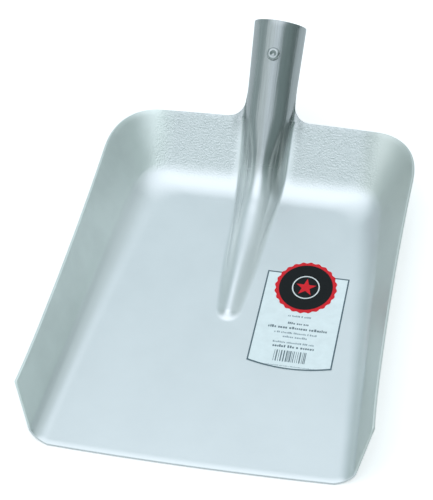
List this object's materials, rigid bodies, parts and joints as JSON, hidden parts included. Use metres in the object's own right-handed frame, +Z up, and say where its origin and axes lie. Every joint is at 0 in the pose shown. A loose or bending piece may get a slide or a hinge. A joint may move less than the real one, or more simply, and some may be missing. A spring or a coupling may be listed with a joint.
{
  "type": "sand shovel head",
  "caption": "Square-mouth sand shovel head pressed from aluminium sheet, with raised sides and back, a central rib and a tapered handle socket.",
  "frame": {"origin": "centre of the bounding box, on the plane that the underside of the floor stands on", "axes": "+Y from the mouth towards the handle socket, +X to the right seen from the mouth, +Z up"},
  "size_m": [0.2538, 0.3909, 0.1053],
  "materials": {
    "bare_aluminium": "rolled sheet, softly reflecting, faint orange peel where the press stretched it",
    "sleeve_aluminium": "duller rolled sheet",
    "rivet_aluminium": "satin",
    "label_film": "clear film printed with a white ground and a slate border",
    "seal_paper": "glossy printed sticker, red scalloped rim and black centre"
  },
  "bodies": {
    "root": {"blade": "bare_aluminium", "socket_sleeve": "sleeve_aluminium", "socket_rivet": "rivet_aluminium", "label": "label_film", "seal_sticker": "seal_paper"}
  },
  "joints": []
}
